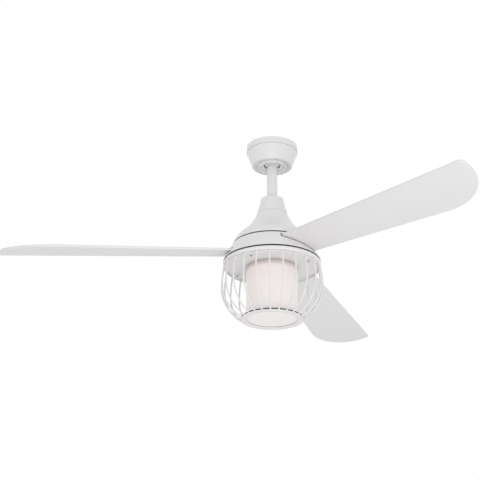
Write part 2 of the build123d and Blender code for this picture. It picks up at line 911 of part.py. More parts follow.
def pan_screws():
    seat = Pos(pan_screw_circle, 0, pan_foot - tab_thickness) * Rot(180, 0, 0)
    screw = seat * pan_head_screw(6.5, wide_head_radius)
    return as_group(around(screw, pan_screw_angles()))


def lampholder():
    foot = holder_foot
    body = turned(
        section(
            (0, foot),
            (holder_radius - 1.5, foot),
            (holder_radius, foot + 1.5),
            (holder_radius, light_plate_foot),
            (0, light_plate_foot),
        )
    )
    body -= disc(holder_bore, foot - 1, foot + holder_bore_depth)
    return body - disc(shaft_bore_radius, foot, light_plate_foot + 1)


def shade_ring():
    top = pan_foot - shade_wall
    ring = disc(shade_ring_radius, top - shade_ring_height, top, holder_radius + fit_gap)
    notch = block((shade_ring_radius - 2, -2, top - shade_ring_height), (shade_ring_radius + 1, 2, top - 2))
    return cut_all(ring, around(notch, [i * 30 for i in range(12)]))


def bulb_cap():
    foot = bulb_top
    cap = disc(cap_radius, foot, foot + cap_length - 3)
    return cap + turned(
        section(
            (0, foot + cap_length - 3),
            (cap_radius, foot + cap_length - 3),
            (5.0, foot + cap_length),
            (0, foot + cap_length),
        )
    )


def lamp_bulb():
    top = bulb_top
    foot = top - bulb_length
    centre = foot + bulb_radius
    outline = [
        Line((0, top), (bulb_neck_radius, top)),
        Spline(
            (bulb_neck_radius, top),
            (bulb_radius, centre),
            tangents=((0, -1), (0, -1)),
        ),
        ThreePointArc(
            (bulb_radius, centre),
            (bulb_radius * math.sqrt(0.5), centre - bulb_radius * math.sqrt(0.5)),
            (0, foot),
        ),
        Line((0, foot), (0, top)),
    ]
    return turned(Plane.XZ * Wire(outline))


def glass_shade():
    top = pan_foot
    corners = [(0, shade_foot), (shade_radius, shade_foot), (shade_radius, top), (0, top)]
    face = make_face(Plane.XZ * Polyline(*corners, close=True))
    outer_corners = face.vertices().sort_by(Axis.X)[-2:].sort_by(Axis.Z)
    face = fillet(outer_corners[0], shade_foot_round)
    face = fillet(face.vertices().sort_by(Axis.Z)[-2:].sort_by(Axis.X)[-1], shade_top_round)
    inner_radius = shade_radius - shade_wall
    inner = make_face(
        Plane.XZ
        * Polyline(
            (0, shade_foot + shade_wall),
            (inner_radius, shade_foot + shade_wall),
            (inner_radius, top - shade_wall),
            (0, top - shade_wall),
            close=True,
        )
    )
    corner = inner.vertices().sort_by(Axis.Z)[:2].sort_by(Axis.X)[-1]
    inner = fillet(corner, shade_foot_round - shade_wall)
    glass = revolve(face, Axis.Z) - revolve(inner, Axis.Z)
    return glass - disc(holder_radius + shade_hole_gap, top - shade_wall - 1, top + 1)


def shade_cushion():
    # Flat washer on the foot ring, notched where the wires come down to it.
    outer = bottom_ring_outer - cushion_edge_inset
    washer = disc(outer, bottom_ring_top, bottom_ring_top + cushion_height, shade_radius + seat_gap)
    return cut_all(washer, around(cage_wire(wire_radius + screw_gap), wire_angles()))


def cage_wire(radius=wire_radius):
    # One wire in the XZ plane: a flat upper arc out to the belly, then a tighter lower arc to the foot ring.
    start = cage_ring_top + cage_seam / 2
    belly = cage_ring_top - cage_belly_drop
    out = cage_belly_radius - cage_top_radius
    drop = start - belly
    upper_curve = (out**2 + drop**2) / (2 * out)
    half_turn = math.asin(drop / upper_curve) / 2
    middle = (
        cage_belly_radius - upper_curve * (1 - math.cos(half_turn)),
        belly + upper_curve * math.sin(half_turn),
    )
    end_turn = math.asin((belly - bottom_ring_top + wire_radius) / cage_lower_curve)
    centre = cage_belly_radius - cage_lower_curve
    lower = [
        (centre + cage_lower_curve * math.cos(a), belly - cage_lower_curve * math.sin(a))
        for a in (end_turn / 2, end_turn)
    ]
    path = Plane.XZ * Wire(
        [
            ThreePointArc((cage_top_radius, start), middle, (cage_belly_radius, belly)),
            ThreePointArc((cage_belly_radius, belly), *lower),
        ]
    )
    wire = sweep((path ^ 0) * Circle(radius), path)
    return wire - block((0, -10, bottom_ring_top - 20), (200, 10, bottom_ring_top))


def wire_angles():
    return [wire_start_angle + i * 360 / wire_count for i in range(wire_count)]


def cage_wires():
    return as_group(around(cage_wire(), wire_angles()))


def cage_top_ring():
    ring = disc(cage_ring_outer, cage_ring_top - cage_ring_height, cage_ring_top, cage_ring_inner)
    tab = block(
        (tab_inner, -tab_width / 2, pan_foot - tab_thickness),
        (cage_ring_inner + 1.2, tab_width / 2, pan_foot),
    )
    tab = fillet(tab.edges().filter_by(Axis.Z).sort_by(Axis.X)[:2], 4.0)
    tab -= rod_along("Z", free_hole, pan_foot - 5, pan_foot + 1, (pan_screw_circle, 0))
    for item in around(tab, pan_screw_angles()):
        ring += item
    seats = around(cage_wire(), wire_angles())
    return cut_all(ring, seats)


def cage_bottom_ring():
    foot = bottom_ring_top - bottom_ring_thickness
    return turned(
        section(
            (bottom_ring_inner, foot + 0.8),
            (bottom_ring_inner + 0.8, foot),
            (bottom_ring_outer - 0.8, foot),
            (bottom_ring_outer, foot + 0.8),
            (bottom_ring_outer, bottom_ring_top),
            (bottom_ring_inner, bottom_ring_top),
        )
    )


makers = {
    "hanger_bracket": hanger_bracket,
    "canopy": canopy,
    "canopy_ring": canopy_ring,
    "canopy_screws": canopy_screws,
    "terminal_block": terminal_block,
    "hanger_ball": hanger_ball,
    "hanger_pin": hanger_pin,
    "ball_set_screw": ball_set_screw,
    "downrod": downrod,
    "coupling_cover": coupling_cover,
    "motor_yoke": motor_yoke,
    "clevis_pin": clevis_pin,
    "clevis_clip": clevis_clip,
    "yoke_set_screws": yoke_set_screws,
    "top_housing": top_housing,
    "housing_screws": housing_screws,
    "motor_shaft": motor_shaft,
    "stator_core": stator_core,
    "stator_windings": stator_windings,
    "motor_case_bottom": motor_case_bottom,
    "motor_case_top": motor_case_top,
    "case_screws": case_screws,
    "rotor_ring": rotor_ring,
    "lower_bearing": lambda: bearing(lower_bearing_foot),
    "upper_bearing": lambda: bearing(upper_bearing_foot),
    "blade_hub": blade_hub,
    "hub_screws": hub_screws,
    "rotor_band": rotor_band,
    "band_screws": band_screws,
    "blade_screws": blade_screws,
    "light_plate": light_plate,
    "plate_grub_screw": plate_grub_screw,
    "motor_capacitor": motor_capacitor,
    "light_pan": light_pan,
    "pan_screws": pan_screws,
    "lampholder": lampholder,
    "shade_ring": shade_ring,
    "bulb_cap": bulb_cap,
    "lamp_bulb": lamp_bulb,
    "glass_shade": glass_shade,
    "shade_cushion": shade_cushion,
    "cage_top_ring": cage_top_ring,
    "cage_wires": cage_wires,
    "cage_bottom_ring": cage_bottom_ring,
}
for number, angle in enumerate(blade_angles, start=1):
    makers[f"blade_{number}"] = lambda angle=angle: blade(angle)

os.makedirs("parts", exist_ok=True)
for name, make in makers.items():
    export_step(make(), f"parts/{name}.step")
    print(name)
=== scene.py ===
import bmesh
import bpy
import json
import math
from mathutils import Matrix, Vector


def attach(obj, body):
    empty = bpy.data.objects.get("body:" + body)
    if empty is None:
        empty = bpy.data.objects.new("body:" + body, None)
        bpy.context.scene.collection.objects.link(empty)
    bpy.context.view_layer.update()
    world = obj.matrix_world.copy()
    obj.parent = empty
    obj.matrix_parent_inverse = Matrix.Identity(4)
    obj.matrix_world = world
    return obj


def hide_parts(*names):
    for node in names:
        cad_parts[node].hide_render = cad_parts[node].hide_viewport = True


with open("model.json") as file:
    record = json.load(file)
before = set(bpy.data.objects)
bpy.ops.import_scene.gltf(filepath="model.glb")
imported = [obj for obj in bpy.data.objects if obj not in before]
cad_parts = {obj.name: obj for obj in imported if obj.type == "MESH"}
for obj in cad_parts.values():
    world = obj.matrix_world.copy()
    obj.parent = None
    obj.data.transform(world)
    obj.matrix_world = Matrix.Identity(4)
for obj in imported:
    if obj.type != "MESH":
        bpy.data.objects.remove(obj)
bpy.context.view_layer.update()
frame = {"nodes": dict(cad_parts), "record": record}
print("frame loaded")

mm = 0.001
weldReach = 0.001 * mm


# Shader building


class Wire:
    # A socket that takes part in sums; each sum adds its own Math node.
    def __init__(self, shader, socket):
        self.shader = shader
        self.socket = socket

    def combined(self, operation, first, second):
        return self.shader.node("ShaderNodeMath", {"operation": operation}, {0: first, 1: second})

    def __add__(self, other):
        return self.combined("ADD", self, other)

    def __radd__(self, other):
        return self.combined("ADD", other, self)

    def __mul__(self, other):
        return self.combined("MULTIPLY", self, other)

    def __rmul__(self, other):
        return self.combined("MULTIPLY", other, self)

    def orLarger(self, other):
        return self.combined("MAXIMUM", self, other)


class Shader:
    # The node tree of a material or of the world.
    def __init__(self, owner):
        self.owner = owner
        owner.use_nodes = True
        self.tree = owner.node_tree
        self.tree.nodes.clear()

    def node(self, kind, settings=None, sockets=None, output=0):
        made = self.tree.nodes.new(kind)
        for key, value in (settings or {}).items():
            setattr(made, key, value)
        for key, value in (sockets or {}).items():
            if isinstance(value, Wire):
                self.tree.links.new(value.socket, made.inputs[key])
            else:
                made.inputs[key].default_value = value
        return Wire(self, made.outputs[output]) if made.outputs else None

    def place(self):
        return self.node("ShaderNodeTexCoord", output="Object")

    def noise(self, scale, detail, stretch=(1, 1, 1)):
        moved = self.node("ShaderNodeMapping", None, {"Vector": self.place(), "Scale": stretch})
        sockets = {"Vector": moved, "Scale": scale, "Detail": detail}
        return self.node("ShaderNodeTexNoise", None, sockets, "Fac")

    def ramp(self, value, low, high, shape="LINEAR", ends=(0.0, 1.0)):
        sockets = {"Value": value, "From Min": low, "From Max": high}
        sockets.update({"To Min": ends[0], "To Max": ends[1]})
        return self.node("ShaderNodeMapRange", {"interpolation_type": shape}, sockets)

    def mix(self, share, first, second):
        # A Mix node set to colours has its two ends at sockets 6 and 7, and the result at 2.
        first, second = [end if isinstance(end, Wire) else (*end, 1) for end in (first, second)]
        return self.node("ShaderNodeMix", {"data_type": "RGBA"}, {0: share, 6: first, 7: second}, 2)

    def bump(self, height, strength, distance):
        sockets = {"Height": height, "Strength": strength, "Distance": distance}
        return self.node("ShaderNodeBump", None, sockets)

    def close(self, sockets):
        surface = self.node("ShaderNodeBsdfPrincipled", None, sockets)
        self.node("ShaderNodeOutputMaterial", None, {"Surface": surface})
        return self.owner


# What the coats share unless one says otherwise: a slow drift of tone, a fine grain, a worn roughness
coatBasis = {
    "metal": 0.0, "coat": 0.0, "coatRough": 0.22, "stretch": (1, 1, 1), "grainDetail": 3.0, "bump": 0.6,
    "driftScale": 9.0, "driftDetail": 3.0, "driftShare": 0.7, "wearScale": 60.0, "wearDetail": 4.0,
}
coats = {
    "white_metal": {"light": (0.81, 0.795, 0.80), "dark": (0.775, 0.76, 0.765), "rough": 0.40, "spread": 0.06,
                    "grain": 0.0016, "height": 0.00005, "coat": 0.25},
    "white_blade": {"light": (0.80, 0.785, 0.79), "dark": (0.77, 0.755, 0.76), "rough": 0.46, "spread": 0.06,
                    "grain": 0.0022, "height": 0.00001, "coat": 0.12},
    "white_nylon": {"light": (0.78, 0.78, 0.77), "dark": (0.72, 0.72, 0.71), "rough": 0.42, "spread": 0.08,
                    "grain": 0.0010, "height": 0.00004},
    "zinc_steel": {"light": (0.66, 0.67, 0.69), "dark": (0.50, 0.51, 0.54), "rough": 0.34, "spread": 0.16,
                   "grain": 0.0008, "height": 0.00003, "metal": 1.0, "stretch": (1, 1, 9)},
    "cast_alloy": {"light": (0.62, 0.63, 0.65), "dark": (0.50, 0.51, 0.53), "rough": 0.50, "spread": 0.14,
                   "grain": 0.0012, "height": 0.00012, "metal": 1.0},
    "laminated_steel": {"light": (0.34, 0.34, 0.36), "dark": (0.17, 0.17, 0.18), "rough": 0.44,
                        "spread": 0.12, "grain": 0.0010, "height": 0.00015, "metal": 0.9,
                        "stretch": (0.05, 0.05, 1)},
    "copper": {"light": (0.76, 0.40, 0.22), "dark": (0.52, 0.22, 0.10), "rough": 0.30, "spread": 0.10,
               "grain": 0.0012, "height": 0.00025, "metal": 0.9, "stretch": (1, 1, 6), "coat": 0.4},
    "lamp_white": {"light": (0.94, 0.93, 0.90), "dark": (0.90, 0.88, 0.85), "rough": 0.34, "spread": 0.06,
                   "grain": 0.0012, "height": 0.00002, "coat": 0.2},
    "porcelain": {"light": (0.86, 0.85, 0.81), "dark": (0.80, 0.79, 0.75), "rough": 0.16, "spread": 0.06,
                  "grain": 0.0050, "height": 0.00004, "coat": 0.7},
    "dark_rubber": {"light": (0.060, 0.058, 0.058), "dark": (0.035, 0.034, 0.034), "rough": 0.70,
                    "spread": 0.12, "grain": 0.0010, "height": 0.00010},
    "block_plastic": {"light": (0.80, 0.79, 0.76), "dark": (0.74, 0.73, 0.70), "rough": 0.38, "spread": 0.08,
                      "grain": 0.0012, "height": 0.00005, "coat": 0.1},
}


def coatMaterial(name):
    look = {**coatBasis, **coats[name]}
    paint = Shader(bpy.data.materials.new(name))
    drift = paint.noise(look["driftScale"], look["driftDetail"])
    grain = paint.noise(1 / look["grain"], look["grainDetail"], look["stretch"])
    wear = paint.noise(look["wearScale"], look["wearDetail"])
    tone = look["driftShare"] * drift + (1 - look["driftShare"]) * grain
    return paint.close({
        "Base Color": paint.mix(tone, look["dark"], look["light"]),
        "Roughness": look["rough"] - look["spread"] / 2 + look["spread"] * wear,
        "Metallic": look["metal"],
        "Coat Weight": look["coat"],
        "Coat Roughness": look["coatRough"],
        "Normal": paint.bump(grain, look["bump"], look["height"]),
    })


# Opal glass: lighter upwards as painted shade towards the foot, painted shade under its brim where the pan
# meets it, and a painted glow over the whole glass with one warm painted patch where the lamp shines through
opal = {
    # low and tone: painted shade, the glass lighter upwards from its foot
    "low": (0.69, 0.66, 0.65), "tone": (0.70, 0.655, 0.65), "lowLevel": -0.463, "toneLevel": -0.362,
    # Painted shade under the brim, where the glass meets the pan: its colour, its glow colour, and the band
    # it covers
    "paintedBrimShade": (0.46, 0.39, 0.36), "paintedBrimShadeGlow": (0.35, 0.28, 0.24), "paintedBrimShadeFoot": -0.350, "paintedBrimShadeTop": -0.3305,
    # Painted glow: an even tint over the whole glass, and a warm patch where the lamp shines through
    "paintedGlowTint": (1.0, 0.93, 0.91), "paintedLampPatch": (1.26, 1.0, 0.74), "paintedLampPatchPlace": (-0.038, -0.050, -0.353),
    "paintedLampPatchReach": 0.026, "paintedGlowStrength": 0.20, "rough": 0.42, "spread": 0.08, "coat": 0.2, "coatRough": 0.30,
    "rippleScale": 45.0, "rippleDetail": 2.0, "bump": 0.3, "rippleHeight": 0.0001,
}


def opalMaterial(look):
    glass = Shader(bpy.data.materials.new("opal_glass"))
    ripple = glass.noise(look["rippleScale"], look["rippleDetail"])
    # Painted lamp patch: a warm glow fading out from one place on the glass
    ends = {0: glass.place(), 1: look["paintedLampPatchPlace"]}
    away = glass.node("ShaderNodeVectorMath", {"operation": "DISTANCE"}, ends, "Value")
    near = glass.ramp(away, 0.0, look["paintedLampPatchReach"], "SMOOTHSTEP", (1.0, 0.0))
    height = glass.node("ShaderNodeSeparateXYZ", None, {0: glass.place()}, "Z")
    # Painted shade: lighter upwards from the foot of the glass
    rise = glass.ramp(height, look["lowLevel"], look["toneLevel"])
    # Painted shade: a dark band at the top of the glass, under the pan
    paintedBrimShade = glass.ramp(height, look["paintedBrimShadeFoot"], look["paintedBrimShadeTop"], "SMOOTHSTEP")
    body = glass.mix(rise, look["low"], look["tone"])
    light = glass.mix(near, look["paintedGlowTint"], look["paintedLampPatch"])
    return glass.close({
        "Base Color": glass.mix(paintedBrimShade, body, look["paintedBrimShade"]),
        "Roughness": look["rough"] + look["spread"] * ripple,
        "Coat Weight": look["coat"],
        "Coat Roughness": look["coatRough"],
        # Painted glow, dimmed by the painted shade under the brim
        "Emission Color": glass.mix(paintedBrimShade, light, look["paintedBrimShadeGlow"]),
        "Emission Strength": look["paintedGlowStrength"],
        "Normal": glass.bump(ripple, look["bump"], look["rippleHeight"]),
    })


finishes = {name: coatMaterial(name) for name in coats}
finishes["opal_glass"] = opalMaterial(opal)
print("finishes made")


# Mesh building, in millimetres


def shares(steps):
    return [k / steps for k in range(steps + 1)]


def rounded(corners, steps=6):
    # Outline from (radius, height, rounding) corners; each rounded corner becomes an arc.
    points = []
    for i, (x, z, rounding) in enumerate(corners):
        here = Vector((x, z))
        if not rounding:
            points.append(here)
            continue
        back = (Vector(corners[i - 1][:2]) - here).normalized()
        ahead = (Vector(corners[(i + 1) % len(corners)][:2]) - here).normalized()
        half = back.angle(ahead) / 2
        centre = here + (back + ahead).normalized() * (rounding / math.sin(half))
        reach = rounding / math.tan(half)
        start, end = here + back * reach - centre, here + ahead * reach - centre
        points += [centre + start.lerp(end, share).normalized() * rounding for share in shares(steps)]
    return points


def smoothLine(points, startLean, endLean, steps=10):
    # Smooth curve through points, with a given slope at both ends.
    points = [Vector(point) for point in points]
    last = len(points) - 1
    slopes = [(points[min(i + 1, last)] - points[max(i - 1, 0)]) / 2 for i in range(last + 1)]
    slopes[0] = Vector(startLean).normalized() * (points[1] - points[0]).length
    slopes[-1] = Vector(endLean).normalized() * (points[-1] - points[-2]).length
    line = []
    for i in range(last):
        for t in shares(steps)[:-1]:
            line.append(
                points[i] * (2 * t**3 - 3 * t**2 + 1) + slopes[i] * (t**3 - 2 * t**2 + t)
                + points[i + 1] * (3 * t**2 - 2 * t**3) + slopes[i + 1] * (t**3 - t**2)
            )
    return line + [points[-1]]


def offsetLine(line, wall):
    moved = []
    for i, point in enumerate(line):
        along = (line[min(i + 1, len(line) - 1)] - line[max(i - 1, 0)]).normalized()
        moved.append(Vector((point.x - wall * along.y, point.y + wall * along.x)))
    return moved


def markSharp(item, angle):
    item.data.shade_smooth()
    item.data.set_sharp_from_angle(angle=math.radians(angle))
    return item


def asObject(name, build, sharpAngle=35):
    bmesh.ops.remove_doubles(build, verts=build.verts, dist=weldReach)
    bmesh.ops.recalc_face_normals(build, faces=build.faces)
    mesh = bpy.data.meshes.new(name)
    build.to_mesh(mesh)
    build.free()
    made = bpy.data.objects.new(name, mesh)
    bpy.context.scene.collection.objects.link(made)
    return markSharp(made, sharpAngle)


def turnedMesh(profile, steps=160, into=None, shift=None):
    # Closed profile turned about the Z axis.
    build = into or bmesh.new()
    shift = shift or Matrix()
    rings = []
    for k in range(steps):
        turn = 2 * math.pi * k / steps
        ring = [Vector((r * math.cos(turn), r * math.sin(turn), z)) * mm for r, z in profile]
        rings.append([build.verts.new(shift @ point) for point in ring])
    for k in range(steps):
        near, far = rings[k], rings[(k + 1) % steps]
        for i in range(len(profile)):
            j = (i + 1) % len(profile)
            build.faces.new((near[i], near[j], far[j], far[i]))
    return build


def turnedPiece(name, corners, cornerSteps=4, turnSteps=160):
    return asObject(name, turnedMesh(rounded(corners, cornerSteps), turnSteps))


def prism(build, outline, low, high, shift):
    # Straight-sided block from an outline of (x, y) points, closed at both ends.
    feet = [build.verts.new(shift @ (Vector((x, y, low)) * mm)) for x, y in outline]
    tops = [build.verts.new(shift @ (Vector((x, y, high)) * mm)) for x, y in outline]
    build.faces.new(feet[::-1])
    build.faces.new(tops)
    for i in range(len(outline)):
        j = (i + 1) % len(outline)
        build.faces.new((feet[i], feet[j], tops[j], tops[i]))
    return build


def applied(item):
    # Takes the item's modifiers into its mesh.
    shown = item.evaluated_get(bpy.context.evaluated_depsgraph_get())
    mesh = bpy.data.meshes.new_from_object(shown)
    item.modifiers.clear()
    item.data = mesh
    return item


def cutBy(item, cutter, sharpAngle=35):
    cut = item.modifiers.new("cut", "BOOLEAN")
    cut.operation = "DIFFERENCE"
    cut.solver = "EXACT"
    cut.object = cutter
    applied(item)
    bpy.data.objects.remove(cutter)
    item.data.set_sharp_from_angle(angle=math.radians(sharpAngle))
    return item


def aboutZ(angle):
    return Matrix.Rotation(math.radians(angle), 4, "Z")


nodeSlot = {row["node"]: row["material_slot"] for row in frame["record"]["subparts"]}
nodeBody = {node: body for body, nodes in frame["record"]["behaviour"]["bodies"].items() for node in nodes}
replaced = set()


def standsFor(item, node):
    item.data.materials.clear()
    item.data.materials.append(finishes[nodeSlot[node]])
    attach(item, nodeBody[node])
    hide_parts(node)
    replaced.add(node)


# Ceiling canopy and hanging rod

canopy = {
    "neck": 61.9, "shoulder": 64.2, "foot": 50.2, "footLevel": -55.0, "shoulderLevel": -17.0,
    "rimLevel": -1.0, "sheet": 1.0, "slantSheet": 1.6, "hole": 21.5,
    "bead": 34.0, "beadHalf": 3.0, "beadSteps": 12, "beadSheets": 2,
    "neckRound": 0.4, "shoulderRound": 0.8, "footRound": 1.8, "lipRound": 0.2, "stepRound": 0.5,
    "holeRound": 0.3, "innerFootRound": 0.6, "innerShoulderRound": 0.3,
    "lip": 48.0, "lipGroove": 45.8, "grooveDeep": 2.2, "step": 42.8, "stepDrop": 0.5, "troughDeep": 4.5,
    "recess": 2.6, "recessSheet": 0.8,
}


def makeCanopy(size):
    neck, shoulder, foot, sheet = size["neck"], size["shoulder"], size["foot"], size["sheet"]
    low, shoulderLevel = size["footLevel"], size["shoulderLevel"]
    recess, trough, groove = low + size["recess"], low + size["troughDeep"], low + size["grooveDeep"]
    recessTop, stepLevel = recess + size["recessSheet"], low + size["stepDrop"]
    beadMiddle, half = size["bead"], size["beadHalf"]
    bead = [
        (beadMiddle + half * math.cos(math.pi * share), recess - 2 * half * math.sin(math.pi * share), 0)
        for share in shares(size["beadSteps"])
    ]
    return turnedPiece("canopy_shell", [
        (neck, size["rimLevel"], 0), (neck, shoulderLevel, size["neckRound"]),
        (shoulder, shoulderLevel, size["shoulderRound"]), (foot, low, size["footRound"]),
        (size["lip"], low, size["lipRound"]), (size["lip"], groove, 0), (size["lipGroove"], groove, 0),
        (size["lipGroove"], stepLevel, size["stepRound"]), (size["step"], stepLevel, size["stepRound"]),
        (size["step"], trough, 0), (beadMiddle + half, trough, 0), *bead,
        (size["hole"], recess, size["holeRound"]), (size["hole"], recessTop, 0),
        (beadMiddle, recessTop, 0), (beadMiddle + size["beadSheets"] * sheet, trough + sheet, 0),
        (foot - sheet, trough + sheet, size["innerFootRound"]),
        (shoulder - size["slantSheet"], shoulderLevel - sheet, size["innerShoulderRound"]),
        (neck - sheet, shoulderLevel - sheet, 0), (neck - sheet, size["rimLevel"], 0),
    ], cornerSteps=6)


standsFor(makeCanopy(canopy), "canopy")

trimRing = {"outer": 64.9, "wall": 1.0, "top": -0.5, "foot": -17.0, "topRound": 0.8, "footRound": 0.3,
            "bevelWide": 0.4, "bevelDeep": 1.2}


def makeTrimRing(size):
    outer, top, foot, inner = size["outer"], size["top"], size["foot"], size["outer"] - size["wall"]
    return turnedPiece("canopy_trim_ring", [
        (outer, foot, size["footRound"]), (outer, top, size["topRound"]), (inner - size["bevelWide"], top, 0),
        (inner, top - size["bevelDeep"], 0), (inner, foot, size["footRound"]),
    ])


standsFor(makeTrimRing(trimRing), "canopy_ring")

cover = {"neck": 29.4, "neckLevel": -157.0, "foot": 38.0, "footLevel": -188.0, "top": -146.5, "hole": 13.6,
         "sheet": 1.5, "topRound": 5.0, "neckRound": 8.0, "holeRound": 0.4, "flare": 0.3, "footRound": 0.7,
         "innerRound": 0.3}


def makeCover(size):
    neck, foot, top, sheet = size["neck"], size["foot"], size["top"], size["sheet"]
    return turnedPiece("coupling_cover_cup", [
        (size["hole"], top, size["holeRound"]), (neck, top, size["topRound"]),
        (neck, size["neckLevel"], size["neckRound"]),
        (foot + size["flare"], size["footLevel"], size["footRound"]),
        (foot - sheet, size["footLevel"], size["innerRound"]),
        (neck - sheet, size["neckLevel"], size["neckRound"]),
        (neck - sheet, top - sheet, size["topRound"] - sheet),
        (size["hole"], top - sheet, size["holeRound"]),
    ], cornerSteps=8, turnSteps=96)


standsFor(makeCover(cover), "coupling_cover")

rod = {"radius": 13.0, "bore": 11.0, "top": -11.0, "foot": -199.0, "edge": 0.6}


def makeRod(size):
    outer, bore, top, foot, edge = [size[key] for key in ("radius", "bore", "top", "foot", "edge")]
    corners = [(outer, foot, edge), (outer, top, edge), (bore, top, edge), (bore, foot, edge)]
    return turnedPiece("hanging_rod", corners, turnSteps=64)


standsFor(makeRod(rod), "downrod")
print("canopy and rod made")

# Bell housing

bell = {"line": [(96.5, -272.0), (84.9, -251.0), (63.6, -231.0), (48.6, -211.0), (38.0, -188.0)],
        "lowLean": (-0.30, 1), "highLean": (-0.28, 1), "sheet": 1.5, "hole": 19.1, "seam": 1.3,
        "seamSteps": 6}


def makeBell(size):
    outer = smoothLine(size["line"], size["lowLean"], size["highLean"])
    inner = offsetLine(outer, size["sheet"])
    neck, top = size["line"][-1]
    under, seam = top - size["sheet"], size["seam"]
    inner[0].y = size["line"][0][1]
    inner[-1] = Vector((neck - size["sheet"], under))
    turns = [math.pi / 2 * share for share in shares(size["seamSteps"])]
    crown = [Vector((neck - seam * (1 - math.cos(a)), top - seam * (1 - math.sin(a)))) for a in turns]
    wall = [point for point in outer if point.y < top - seam]
    mouth = [Vector((size["hole"], top)), Vector((size["hole"], under))]
    return asObject("bell_housing", turnedMesh(wall + crown + mouth + inner[::-1], steps=192))


standsFor(makeBell(bell), "top_housing")

# Turning band, with a slot for each blade

band = {"top": 97.6, "topLevel": -275.5, "foot": 119.8, "footLevel": -317.0, "bulge": 1.2, "sheet": 1.6,
        "flangeLevel": -280.0, "flangeInner": 75.2, "slotGap": 2.4, "slotSide": 1.2, "cutInside": 6.0,
        "cutBeyond": 25.0, "wallSteps": 24, "turnSteps": 240}
blades = {"angles": (60, 180, 300), "level": -291.0, "droop": 3.5, "pitch": 12.3, "thickness": 6.0,
          "edgeRound": 2.2, "lead": 46.8, "trail": 38.8, "spread": 0.0436, "tip": 660.0, "tipCurve": 140.0,
          "tipLow": -60.0, "cornerRound": 11.5, "cornerRun": 60.0, "root": 46.0, "rootHalf": 27.0,
          "rootShoulder": 78.0, "rootFull": 92.0, "edgeSteps": 5, "edgeAngle": 60, "cornerSteps": 10,
          "tipSteps": 36, "smoothAngle": 40}


def bandWall(size, inset, share):
    # A point of the band's outer line, at a share of its height from the foot, moved in by inset.
    radius = size["foot"] + (size["top"] - size["foot"]) * share + size["bulge"] * 4 * share * (1 - share)
    return Vector((radius - inset, size["footLevel"] + (size["topLevel"] - size["footLevel"]) * share))


def onBlade(angle):
    return (
        Matrix.Translation((0, 0, blades["level"] * mm))
        @ aboutZ(angle)
        @ Matrix.Rotation(math.radians(blades["droop"]), 4, "Y")
        @ Matrix.Rotation(math.radians(-blades["pitch"]), 4, "X")
    )


def bladeEdge(side, out):
    start = -blades["lead"] if side < 0 else blades["trail"]
    return start + side * blades["spread"] * out


def makeBand(size):
    walls = shares(size["wallSteps"])
    sheet, flangeLevel, height = size["sheet"], size["flangeLevel"], size["topLevel"] - size["footLevel"]
    below = (flangeLevel - size["footLevel"]) / height
    above = below + sheet / height
    profile = [bandWall(size, 0, share) for share in walls]
    profile += [bandWall(size, sheet, share) for share in walls[::-1] if share > above]
    profile += [bandWall(size, sheet, above), Vector((size["flangeInner"], flangeLevel + sheet))]
    profile += [Vector((size["flangeInner"], flangeLevel)), bandWall(size, sheet, below)]
    profile += [bandWall(size, sheet, share) for share in walls[::-1] if share < below]
    shell = asObject("turning_band", turnedMesh(profile, size["turnSteps"]))
    near, far = blades["rootFull"] - size["cutInside"], size["foot"] + size["cutBeyond"]
    gap = size["slotSide"]
    outline = [(near, bladeEdge(-1, near) - gap), (far, bladeEdge(-1, far) - gap),
               (far, bladeEdge(1, far) + gap), (near, bladeEdge(1, near) + gap)]
    half = blades["thickness"] / 2 + size["slotGap"]
    cutters = bmesh.new()
    for angle in blades["angles"]:
        prism(cutters, outline, -half, half, onBlade(angle))
    return cutBy(shell, asObject("slot_cutter", cutters))


standsFor(makeBand(band), "rotor_band")
print("housing and band made")

# Blades


def bladeOutline(size):
    tip, full, rootHalf, shoulder = size["tip"], size["rootFull"], size["rootHalf"], size["rootShoulder"]
    curveStart = tip - size["tipCurve"]
    rise = bladeEdge(1, curveStart) - size["tipLow"]
    points = [
        (shoulder, rootHalf), (size["root"], rootHalf), (size["root"], -rootHalf),
        (shoulder, -rootHalf), (full, bladeEdge(-1, full)),
    ]
    run = tip - size["cornerRun"]
    corner = [
        (run, bladeEdge(-1, run), 0), (tip, bladeEdge(-1, tip), size["cornerRound"]),
        (tip, size["tipLow"], 0),
    ]
    points += [tuple(point) for point in rounded(corner, size["cornerSteps"])[1:-1]]
    for share in shares(size["tipSteps"]):
        turn = math.pi / 2 * share
        across = size["tipLow"] + rise * math.sin(turn)
        points.append((curveStart + size["tipCurve"] * math.cos(turn), across))
    return points + [(full, bladeEdge(1, full))]


def makeBlade(number, angle):
    half = blades["thickness"] / 2
    build = prism(bmesh.new(), bladeOutline(blades), -half, half, Matrix())
    slab = asObject(f"fan_blade_{number}", build)
    edge = slab.modifiers.new("edge", "BEVEL")
    edge.width = blades["edgeRound"] * mm
    edge.segments = blades["edgeSteps"]
    edge.limit_method = "ANGLE"
    edge.angle_limit = math.radians(blades["edgeAngle"])
    applied(slab)
    slab.data.transform(onBlade(angle))
    return markSharp(slab, blades["smoothAngle"])


for number, angle in enumerate(blades["angles"], start=1):
    standsFor(makeBlade(number, angle), f"blade_{number}")
print("blades made")

# Light pan, glass and its washer

pan = {"top": 120.0, "foot": 119.4, "topLevel": -321.0, "footLevel": -330.5, "sheet": 1.2, "round": 3.0,
       "rimRound": 0.4, "hole": 24.0, "screwCircle": 100.0, "screwAngles": (49.5, 139.5, 229.5, 319.5)}


def makePan(size):
    foot, low, high, sheet = size["foot"], size["footLevel"], size["topLevel"], size["sheet"]
    return turnedPiece("light_pan_dish", [
        (size["hole"], low, 0), (foot, low, size["round"]), (size["top"], high, size["rimRound"]),
        (size["top"] - sheet, high, size["rimRound"]), (foot - sheet, low + sheet, size["round"] - sheet),
        (size["hole"], low + sheet, 0),
    ], cornerSteps=8, turnSteps=192)


